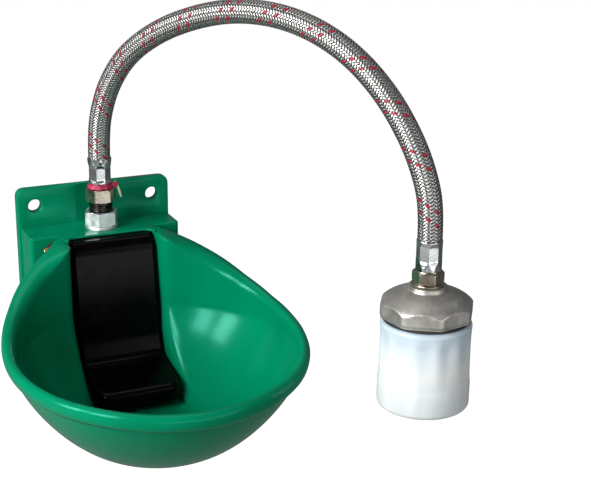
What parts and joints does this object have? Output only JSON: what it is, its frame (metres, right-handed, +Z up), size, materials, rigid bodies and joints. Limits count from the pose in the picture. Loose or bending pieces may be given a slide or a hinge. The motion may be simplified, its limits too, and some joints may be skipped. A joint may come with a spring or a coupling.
{
  "type": "livestock water bowl",
  "caption": "Wall-mounted livestock water bowl with a press tongue, a spring valve and a braided feed hose that ends in a screw-on tank coupling.",
  "frame": {"origin": "midway between the two wall bolt holes, on the wall plane", "axes": "+X along the wall through both bolt holes, +Y into the wall, +Z up"},
  "size_m": [0.3368, 0.3429, 0.3591],
  "materials": {
    "green_moulding": "glossy moulded polyethylene",
    "copper_pin": "drawn",
    "pin_clip": "pressed, copper flashed",
    "valve_brass": "turned",
    "spring_steel": "drawn wire",
    "dark_nipple": "blackened, threaded",
    "bright_zinc": "zinc plated",
    "nickel": "nickel plated brass",
    "stainless_ferrule": "crimped stainless",
    "red_band": "soft moulded",
    "cream_tail": "cut strip",
    "steel_braid": "braided stainless wire with a red tracer",
    "galvanised_iron": "hot-dip galvanised malleable iron",
    "natural_plastic": "translucent natural polypropylene",
    "black_moulding": "glossy moulded nylon",
    "black_rubber": "moulded"
  },
  "bodies": {
    "trough": {"bowl_body": "green_moulding", "hinge_pin": "copper_pin", "pin_clips": "pin_clip", "valve_body": "valve_brass", "valve_spring": "spring_steel", "spring_retainer": "valve_brass", "inlet_gasket": "black_rubber", "inlet_nipple": "dark_nipple", "inlet_washer": "bright_zinc", "inlet_lock_nut": "bright_zinc", "union_nut": "nickel", "union_gasket": "black_rubber", "near_tail": "nickel", "near_ferrule": "stainless_ferrule", "seal_band": "red_band", "band_tail": "cream_tail", "hose_braid": "steel_braid", "hose_liner": "black_rubber", "far_ferrule": "stainless_ferrule", "far_tail": "nickel", "reducing_cap": "galvanised_iron", "cap_gasket": "black_rubber", "tank_coupling": "natural_plastic", "coupling_seal": "black_rubber"},
    "tongue": {"press_tongue": "black_moulding"},
    "plunger": {"valve_plunger": "valve_brass", "valve_seal": "black_rubber"}
  },
  "joints": [
    {"name": "tongue_hinge", "type": "hinge", "parent": "trough", "child": "tongue", "pos_m": [0, -0.0525, -0.0285], "axis": [1, 0, 0], "range_deg": [0, 4], "stiffness_Nm_per_rad": 2, "springref_deg": -8.59},
    {"name": "plunger_lift", "type": "slide", "parent": "trough", "child": "plunger", "axis": [0, 0, 1], "range_m": [0, 0.0017], "stiffness_N_per_m": 400, "springref_m": -0.002, "deforming": ["valve_spring"]}
  ],
  "couplings": [
    {"joint": "plunger_lift", "follows": "tongue_hinge", "m_per_rad": 0.0225}
  ]
}
